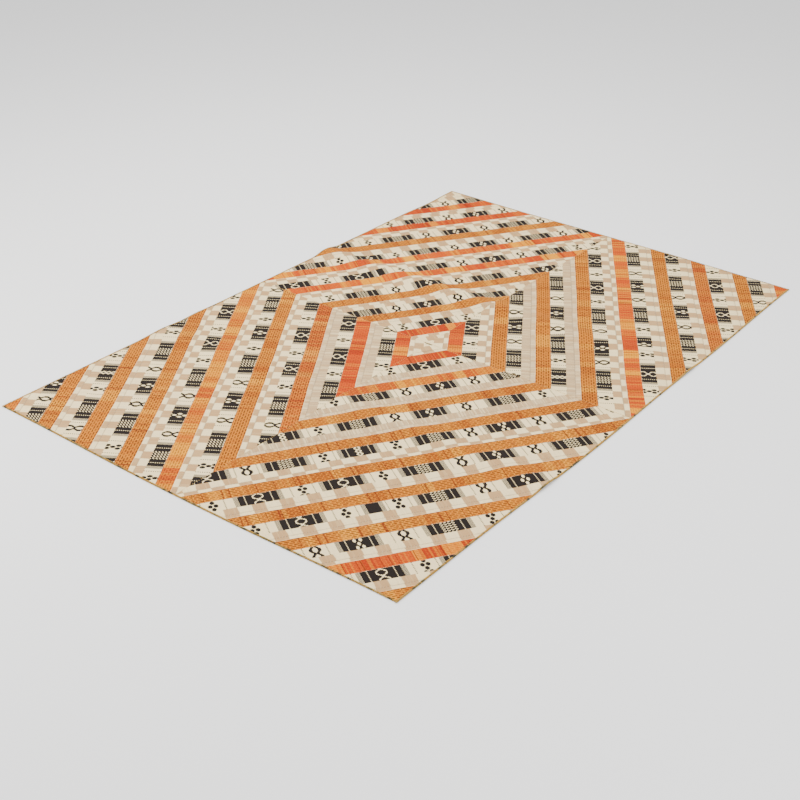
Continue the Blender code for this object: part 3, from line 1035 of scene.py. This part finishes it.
# %% Motif band material
CREAM_WOOL = (0.930, 0.745, 0.410)
BEIGE_WOOL = (0.500, 0.300, 0.135)
GREIGE_WOOL = (0.540, 0.380, 0.210)
PALE_GREIGE = (0.660, 0.490, 0.280)
BLACK_WOOL = (0.012, 0.009, 0.008)
BROWN_WOOL = (0.036, 0.017, 0.010)
PINK_WOOL = (0.760, 0.420, 0.250)
HATCH_STEP = 0.0030


def motif_material():
    material, tree, place = start_wool("pick_up_motifs")
    number = put(tree, "ShaderNodeAttribute", attribute_name="yarn_number").outputs["Fac"]
    ramp = put(tree, "ShaderNodeValToRGB", {"Fac": number})
    ramp.color_ramp.interpolation = "CONSTANT"
    stops = ((0.0, CREAM_WOOL), (0.2, BROWN_WOOL), (0.85, BLACK_WOOL))
    ramp.color_ramp.elements[0].color = (*stops[0][1], 1.0)
    ramp.color_ramp.elements[1].position = stops[1][0]
    ramp.color_ramp.elements[1].color = (*stops[1][1], 1.0)
    ramp.color_ramp.elements.new(stops[2][0]).color = (*stops[2][1], 1.0)
    run = put(tree, "ShaderNodeSeparateXYZ", {"Vector": place}).outputs["X"]
    stripes = sum_of(tree, "SINE", sum_of(tree, "MULTIPLY", run, math.tau / HATCH_STEP))
    hatch = mix(tree, smooth(tree, stripes, -0.85, -0.25), CREAM_WOOL, (0.060, 0.048, 0.038))
    is_grey = sum_of(tree, "COMPARE", number, GREY, 0.1)
    colour = mix(tree, is_grey, ramp.outputs["Color"], hatch)
    weave = use(tree, WEAVE, Place=place, Thread_Along=MOTIF_CELL / 2, Thread_Across=MOTIF_CELL)
    raised = sum_of(tree, "MULTIPLY", number, 0.5)
    finish_wool(tree, place, colour, weave, raised, fleck=0.20, painted_gap_shade=0.22)
    return material


motif_wool = motif_material()
print("cell size", MOTIF_CELL * 1000, "mm")

# %% [markdown]
# ## Checks and plain stretches
#
# The check columns are beige squares woven in turn with cream. Their borders are where two wefts turn
# back, so they are slightly ragged: the place is nudged by noise before the squares are drawn. Some
# inner strips have a plain greige column there instead, in which old squares are only just seen.

# %% Check and greige materials
CHECK_REPEAT = 0.1015


def check_material(name, dark, pale, contrast, mottle):
    material, tree, place = start_wool(name)
    ragged = sum_of(tree, "SUBTRACT", noise(tree, place, 160.0, 2.0), 0.5)
    broad = sum_of(tree, "SUBTRACT", noise(tree, place, 12.0, 1.0), 0.5)
    run = put(tree, "ShaderNodeSeparateXYZ", {"Vector": place}).outputs["X"]
    run = sum_of(tree, "MULTIPLY_ADD", ragged, 0.0045, run)
    run = sum_of(tree, "MULTIPLY_ADD", broad, 0.010, run)
    turn_of = sum_of(tree, "FRACT", sum_of(tree, "DIVIDE", run, CHECK_REPEAT))
    square = smooth(tree, sum_of(tree, "ABSOLUTE", sum_of(tree, "SUBTRACT", turn_of, 0.5)), 0.238, 0.262)
    colour = mix(tree, sum_of(tree, "MULTIPLY", square, contrast), pale, dark)
    lots = use(tree, DYE_STEPS, Place=place, Hank_Length=0.021, Pick_Length=0.0045)
    colour = mix(tree, sum_of(tree, "MULTIPLY", smooth(tree, lots["Pick"], 0.55, 0.95), mottle), colour, dark)
    colour = mix(tree, sum_of(tree, "MULTIPLY", smooth(tree, lots["Pick"], 0.45, 0.05), mottle), colour, CREAM_WOOL)
    weave = use(tree, WEAVE, Place=place, Thread_Along=0.0021, Thread_Across=0.0032)
    finish_wool(tree, place, colour, weave, fleck=0.30, cloud=0.16, painted_gap_shade=0.24)
    return material


check_wool = check_material("beige_checks", BEIGE_WOOL, CREAM_WOOL, 1.0, 0.12)
greige_wool = check_material("greige_column", BEIGE_WOOL, GREIGE_WOOL, 0.25, 0.55)
inner_greige_wool = check_material("greige_narrow_column", BEIGE_WOOL, PALE_GREIGE, 0.6, 0.45)
print("check repeat", CHECK_REPEAT * 1000, "mm")

# %% Fine border threads
def thread_material():
    material, tree, place = start_wool("fine_border_thread")
    weave = use(tree, WEAVE, Place=place, Thread_Along=0.0040, Thread_Across=0.0017)
    patchy = smooth(tree, noise(tree, place, 30.0, 2.0), 0.42, 0.58)
    colour = mix(tree, patchy, PINK_WOOL, CREAM_WOOL)
    finish_wool(tree, place, colour, weave, painted_gap_shade=0.25)
    return material


thread_wool = thread_material()
print("fine threads", FINE_THREAD * 1000, "mm wide")

# %% [markdown]
# ## Weave all the strips
#
# Now everything comes together. Each row of the table becomes a ribbon, is cut to its quarter, laid, and takes the
# place of its plain solid.

# %% Make one cloth piece
made_triangles = {}


def lay_piece(name, node, quarter, inner, lines, yarns, rows, materials, seed, checks_at):
    """Cut, lay and dress one piece of cloth."""
    signs = QUARTERS[quarter]
    row_places, row_parts = rows
    ribbon = ribbon_mesh(signs, inner, lines, yarns, row_places, row_parts)
    cut_to_quarter(ribbon, signs)
    flat = read_flat(ribbon)
    bpy.data.meshes.remove(ribbon)
    used = list(dict.fromkeys(materials[part] for part in sorted(set(flat[3]))))
    slots = {part: used.index(material) for part, material in materials.items() if material in used}
    mesh = sheet_mesh(name, signs, inner, flat, slots, seed, checks_at)
    for material in used:
        mesh.materials.append(material)
    piece = bpy.data.objects.new(name, mesh)
    bpy.context.scene.collection.objects.link(piece)
    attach(piece, "root")
    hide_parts(node)
    flat_area(*flat[:3])
    made_triangles[name] = len(mesh.loops) - 2 * len(mesh.polygons)


def run_limits(inner, outer):
    """How far a strip can reach along itself inside its quarter, with a little to spare."""
    spare = 0.01
    low = -outer * math.tan(STRIP_ANGLE) - spare
    high = outer / math.tan(STRIP_ANGLE) + spare
    half_length, half_width = RUG_LENGTH / 2, RUG_WIDTH / 2
    reach_up = (inner * math.cos(STRIP_ANGLE) - half_width) / math.sin(STRIP_ANGLE) - 2 * spare
    reach_side = (half_length - inner * math.sin(STRIP_ANGLE)) / math.cos(STRIP_ANGLE) + 2 * spare
    return max(low, reach_up), min(high, reach_side)


# %% Lay the full strips
side_of = {(row["quarter"], row["ring"]): row["outer_side"] for row in named_rows(STRIP_COLUMNS, STRIPS)}
for number, row in enumerate(named_rows(STRIP_COLUMNS, STRIPS)):
    quarter, ring = row["quarter"], row["ring"]
    inner = CENTRE_REACH + STRIP_WIDTH * (ring - 1)
    start, end = run_limits(inner, inner + STRIP_WIDTH)
    lines, yarns = run_columns(row["first_block"], row["repeat"], row["run"], start, end)
    inner_side = side_of.get((quarter, ring - 1), "checks")
    outer_wool = greige_wool if row["outer_side"] == "greige" else check_wool
    materials = {
        NARROW: inner_greige_wool if inner_side == "greige" else check_wool,
        THREAD: thread_wool,
        BAND: orange[row["dye"]],
        MOTIF: motif_wool,
        WIDE: outer_wool,
    }
    node = quarter + "_strip_" + str(ring)
    lay_piece("woven_" + node, node, quarter, inner, lines, yarns, (ROW_PLACES, ROW_PARTS), materials,
              float(number + 1), row["checks_at"])
print("strips:", sum(made_triangles.values()), "triangles")

# %% [markdown]
# ## Centre and corners
#
# The smallest pieces are cut from the same cloth. The four centre triangles show only checks, with a
# scrap of a black motif where they meet. A corner triangle shows a check column, and the start of an
# orange band at its tip.

# %% Lay the centre and corner triangles
CENTRE_STEP = 0.0115
CENTRE_CHECKS_AT = (0.0, 0.03)
CORNER_CHECKS_AT = {"back_left": (0.074, 0.0), "back_right": (0.084, 0.0),
                    "front_left": (0.033, 0.0), "front_right": (0.054, 0.0)}
CORNER_BANDS = {"back_left": orange["bright"], "back_right": check_wool, "front_left": orange["tan"],
                "front_right": orange["red"]}


def centre_rows():
    """Lines from the centre outwards; the first stretch may hold a scrap of motif."""
    scrap_cells = 5
    places = [MOTIF_CELL * cell for cell in range(scrap_cells)]
    parts = [MOTIF] * scrap_cells
    place = MOTIF_CELL * scrap_cells
    while place < CENTRE_REACH - SEAM_ROUND[1]:
        places.append(place)
        parts.append(WIDE)
        place += CENTRE_STEP
    places += [CENTRE_REACH - SEAM_ROUND[1], CENTRE_REACH - SEAM_ROUND[0], CENTRE_REACH]
    parts += [WIDE, WIDE]
    return np.array(places), np.array(parts)


for number, quarter in enumerate(QUARTERS):
    rows = centre_rows()
    start, end = run_limits(0.0, CENTRE_REACH)
    lines = np.arange(start, end, MOTIF_CELL)
    yarns = np.zeros((len(lines) - 1, CHART_ROWS))
    if quarter in ("back_left", "front_left"):
        middle = (lines[:-1] + lines[1:]) / 2
        for row in range(5):
            yarns[np.abs(middle + 0.006) < 0.016 - 0.0035 * row, row] = BLACK
    lay_piece("woven_" + quarter + "_centre", quarter + "_centre", quarter, 0.0, lines, yarns, rows,
              {MOTIF: motif_wool, WIDE: check_wool}, 50.0 + number, CENTRE_CHECKS_AT)
    inner = CENTRE_REACH + STRIP_WIDTH * FULL_STRIPS
    start, end = run_limits(inner, inner + STRIP_WIDTH)
    lines = np.arange(start, end + PLAIN_STEP, PLAIN_STEP)
    yarns = np.zeros((len(lines) - 1, CHART_ROWS))
    materials = {NARROW: check_wool, THREAD: thread_wool, BAND: CORNER_BANDS[quarter],
                 MOTIF: motif_wool, WIDE: check_wool}
    lay_piece("woven_" + quarter + "_corner", quarter + "_corner", quarter, inner, lines, yarns,
              (ROW_PLACES, ROW_PARTS), materials, 60.0 + number,
              CORNER_CHECKS_AT[quarter])
print("cloth in all:", len(made_triangles), "pieces,", sum(made_triangles.values()), "triangles")

# %% [markdown]
# ## Overcast edge
#
# The raw edge of the rug is bound by wrapping gold yarn round it, turn after turn. Each turn is a short
# bent tube that comes up through the cloth, over the edge and back under. The turns are made by one loop
# into one mesh for each side. Some stretches are wrapped in dark green and black, as on the real rug.

# %% Edge yarn material
def wrapped_yarn_material():
    material, tree, place = start_wool("overcast_edge_yarn")
    number = put(tree, "ShaderNodeAttribute", attribute_name="yarn_number").outputs["Fac"]
    ramp = put(tree, "ShaderNodeValToRGB", {"Fac": number})
    ramp.color_ramp.interpolation = "LINEAR"
    ramp.color_ramp.elements[0].color = (0.54, 0.29, 0.040, 1.0)
    ramp.color_ramp.elements[1].color = (0.035, 0.035, 0.018, 1.0)
    ramp.color_ramp.elements.new(0.5).color = (0.30, 0.22, 0.05, 1.0)
    axes = put(tree, "ShaderNodeSeparateXYZ", {"Vector": place}).outputs
    twist = sum_of(tree, "SINE", sum_of(tree, "ADD", sum_of(tree, "MULTIPLY", axes["X"], 2600.0),
                                        sum_of(tree, "MULTIPLY", axes["Y"], 3.0)))
    fibre = use(tree, WOOL_FIBRE, Place=place, Colour=ramp.outputs["Color"], Fleck=0.3, Cloud=0.15)
    # Painted shade: the twist's grooves, where the bump sinks, are darkened towards dark brown.
    twist_groove_shade = sum_of(tree, "MULTIPLY", smooth(tree, twist, 0.2, -0.9), 0.45)
    colour = mix(tree, twist_groove_shade, fibre["Colour"], (0.10, 0.06, 0.015))
    height = sum_of(tree, "MULTIPLY_ADD", fibre["Fuzz"], 0.4, twist)
    bump = put(tree, "ShaderNodeBump", {"Height": height, "Strength": 0.5, "Distance": 0.0004})
    shader = tree.nodes["Principled BSDF"]
    shader.inputs["Sheen Weight"].default_value = WOOL_SHEEN
    rough = sum_of(tree, "MULTIPLY_ADD", fibre["Fuzz"], 0.12, 0.78)
    tree.links.new(rough, shader.inputs["Roughness"])
    tree.links.new(colour, shader.inputs["Base Color"])
    tree.links.new(bump.outputs["Normal"], shader.inputs["Normal"])
    return material


edge_wool = wrapped_yarn_material()
print(edge_wool.name, "ready")

# %% Wrap the four sides
WRAP_SPACING = 0.0046
YARN_RADIUS = 0.0015
WRAP_SIDES = 6
WRAP_REACH_IN = 0.0065
WRAP_SLANT = 0.0022


def tube_along(path, radius, sides):
    """Points and faces of a closed tube along a short path; path is an array of points."""
    forward = np.gradient(path, axis=0)
    forward /= np.linalg.norm(forward, axis=1, keepdims=True)
    spread = np.cross(forward[0], forward[-1])
    size = np.linalg.norm(spread)
    guide = spread / size if size > 1e-3 else np.array((0.0, 0.0, 1.0))
    side = np.cross(forward, guide)
    side /= np.linalg.norm(side, axis=1, keepdims=True)
    lift = np.cross(side, forward)
    turns = np.arange(sides) * math.tau / sides
    ring = side[:, None] * np.cos(turns)[None, :, None] + lift[:, None] * np.sin(turns)[None, :, None]
    points = (path[:, None] + ring * radius).reshape(-1, 3)
    faces = []
    for step in range(len(path) - 1):
        for turn_index in range(sides):
            following = (turn_index + 1) % sides
            low, high = step * sides, (step + 1) * sides
            faces.append((low + turn_index, low + following, high + following, high + turn_index))
    faces.append(tuple(range(sides))[::-1])
    faces.append(tuple((len(path) - 1) * sides + turn_index for turn_index in range(sides)))
    return points, faces


def joined_mesh(name, parts, material):
    """One mesh of many closed tubes. parts: (points, faces, yarn number, place of each point)."""
    points, faces, yarns, places, offset = [], [], [], [], 0
    for part_points, part_faces, yarn, place in parts:
        points.append(part_points)
        faces += [tuple(index + offset for index in face) for face in part_faces]
        yarns += [yarn] * len(part_points)
        places.append(place)
        offset += len(part_points)
    mesh = bpy.data.meshes.new(name)
    mesh.from_pydata(np.concatenate(points).tolist(), [], faces)
    tone = mesh.attributes.new("yarn_number", "FLOAT", "POINT")
    tone.data.foreach_set("value", np.array(yarns, np.float32))
    where = mesh.attributes.new("strip_place", "FLOAT_VECTOR", "POINT")
    where.data.foreach_set("vector", np.concatenate(places).astype(np.float32).ravel())
    mesh.shade_smooth()
    mesh.materials.append(material)
    piece = bpy.data.objects.new(name, mesh)
    bpy.context.scene.collection.objects.link(piece)
    return piece


def edge_wraps(side, rng):
    """All turns of yarn along one side of the rug."""
    along_x = side in ("front", "back")
    sign = 1 if side in ("back", "right") else -1
    half_run = RUG_LENGTH / 2 if along_x else RUG_WIDTH / 2
    half_side = RUG_WIDTH / 2 if along_x else RUG_LENGTH / 2
    edge = half_side - YARN_RADIUS
    over = CLOTH_THICKNESS + YARN_RADIUS * 0.75
    section = ((-WRAP_REACH_IN, CLOTH_THICKNESS - 0.0006), (-WRAP_REACH_IN * 0.55, over),
               (-WRAP_REACH_IN * 0.15, over - 0.0002), (0.0, over * 0.52),
               (-WRAP_REACH_IN * 0.15, YARN_RADIUS * 1.12), (-WRAP_REACH_IN * 0.55, YARN_RADIUS * 1.12))
    count = int(2 * half_run / WRAP_SPACING)
    dark_left, dark = 0, 0.0
    parts = []
    for index in range(count):
        run = -half_run + WRAP_SPACING * (index + 0.5) + rng.normal(0, 0.0003)
        if dark_left <= 0 and rng.random() < DARK_CHANCE[side]:
            dark_left, dark = rng.integers(1, 5), rng.uniform(0.55, 1.0)
        dark_left -= 1
        yarn = dark if dark_left >= 0 else rng.uniform(0.0, 0.22)
        steps = np.linspace(0, 1, len(section))
        runs = run + WRAP_SLANT * (steps - 0.5) + rng.normal(0, 0.0002, len(section))
        offs = sign * (edge + np.array([inset for inset, _ in section]))
        flat_x, flat_y = (runs, offs) if along_x else (offs, runs)
        x, y, low = laid(flat_x, flat_y)
        path = np.stack([x, y, low + np.array([height for _, height in section])], 1)
        points, faces = tube_along(path, YARN_RADIUS * rng.uniform(0.9, 1.1), WRAP_SIDES)
        place = np.zeros((len(points), 3))
        place[:, 0] = np.repeat(steps * 0.016, WRAP_SIDES) + index * 0.013
        place[:, 1] = np.tile(np.arange(WRAP_SIDES) * math.tau / WRAP_SIDES, len(section)) / 3.0
        place[:, 2] = 80 + index % 7
        parts.append((points, faces, yarn, place))
    return parts


DARK_CHANCE = {"front": 0.10, "back": 0.05, "left": 0.13, "right": 0.05}
for side_number, side in enumerate(DARK_CHANCE):
    wraps = edge_wraps(side, np.random.default_rng(40 + side_number))
    piece = joined_mesh("overcast_" + side, wraps, edge_wool)
    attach(piece, "root")
    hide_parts("edge_yarn_" + side)
    print(piece.name, len(wraps), "turns")

# %% [markdown]
# ## Seam stitches
#
# The strips are joined from the back with small slanted stitches, and only their tops show on the right
# side. They are gold where the quarters meet and cream between strips. A stitch is a tiny arched tube.

# %% Stitch the seams
STITCH_SPACING = 0.0105
STITCH_RADIUS = 0.00055
STITCH_HALF = 0.0032


def seam_lines():
    """Start, end and yarn of every seam, in the flat pattern."""
    cloth_x, cloth_y = RUG_LENGTH / 2 - EDGE_YARN_WIDTH, RUG_WIDTH / 2 - EDGE_YARN_WIDTH
    seams = [(np.array((-cloth_x, CENTRE_Y)), np.array((cloth_x, CENTRE_Y)), 0.15),
             (np.array((CENTRE_X, -cloth_y)), np.array((CENTRE_X, cloth_y)), 0.15)]
    for signs in QUARTERS.values():
        along, away = along_and_away(signs)
        for ring in range(FULL_STRIPS + 1):
            out = CENTRE_REACH + STRIP_WIDTH * ring
            low = max(-out * math.tan(STRIP_ANGLE),
                      (out * math.cos(STRIP_ANGLE) + signs[1] * CENTRE_Y - cloth_y) / math.sin(STRIP_ANGLE))
            high = min(out / math.tan(STRIP_ANGLE),
                       (cloth_x - signs[0] * CENTRE_X - out * math.sin(STRIP_ANGLE))
                       / math.cos(STRIP_ANGLE))
            if high - low > 0.02:
                middle = np.array((CENTRE_X, CENTRE_Y)) + away * out
                seams.append((middle + along * (low + 0.004), middle + along * (high - 0.004), 0.0))
    return seams


def stitch_material():
    material, tree, place = start_wool("sewing_thread")
    number = put(tree, "ShaderNodeAttribute", attribute_name="yarn_number").outputs["Fac"]
    colour = mix(tree, smooth(tree, number, 0.05, 0.12), (0.56, 0.46, 0.32), (0.66, 0.40, 0.12))
    fibre = use(tree, WOOL_FIBRE, Place=place, Colour=colour, Fleck=0.35, Cloud=0.1)
    bump = put(tree, "ShaderNodeBump", {"Height": fibre["Fuzz"], "Strength": 0.4, "Distance": 0.0003})
    shader = tree.nodes["Principled BSDF"]
    rough = sum_of(tree, "MULTIPLY_ADD", fibre["Fuzz"], 0.12, 0.78)
    tree.links.new(rough, shader.inputs["Roughness"])
    tree.links.new(fibre["Colour"], shader.inputs["Base Color"])
    tree.links.new(bump.outputs["Normal"], shader.inputs["Normal"])
    return material


def stitches(seams, rng):
    """Slanted arched stitches over each seam."""
    parts = []
    for start, end, yarn in seams:
        length = float(np.linalg.norm(end - start))
        forward = (end - start) / length
        across = np.array((-forward[1], forward[0]))
        for index in range(int(length / STITCH_SPACING)):
            place_on = start + forward * (STITCH_SPACING * (index + 0.5) + rng.normal(0, 0.0006))
            slant = 0.0018 * rng.uniform(0.6, 1.4)
            shares = np.array((-1.0, -0.4, 0.4, 1.0))
            flat = place_on + shares[:, None] * (across * STITCH_HALF + forward * slant)
            x, y, low = laid(flat[:, 0], flat[:, 1])
            height = CLOTH_THICKNESS + np.array((-0.0012, -0.00015, -0.00015, -0.0012))
            points, faces = tube_along(np.stack([x, y, low + height], 1), STITCH_RADIUS, 5)
            place = points * (1.0, 1.0, 0.0) + (0.0, 0.0, 90.0)
            parts.append((points, faces, yarn, place))
    return parts


seam_thread = stitch_material()
all_stitches = stitches(seam_lines(), np.random.default_rng(7))
stitch_piece = joined_mesh("seam_stitches", all_stitches, seam_thread)
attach(stitch_piece, "root")
print(len(all_stitches), "stitches")
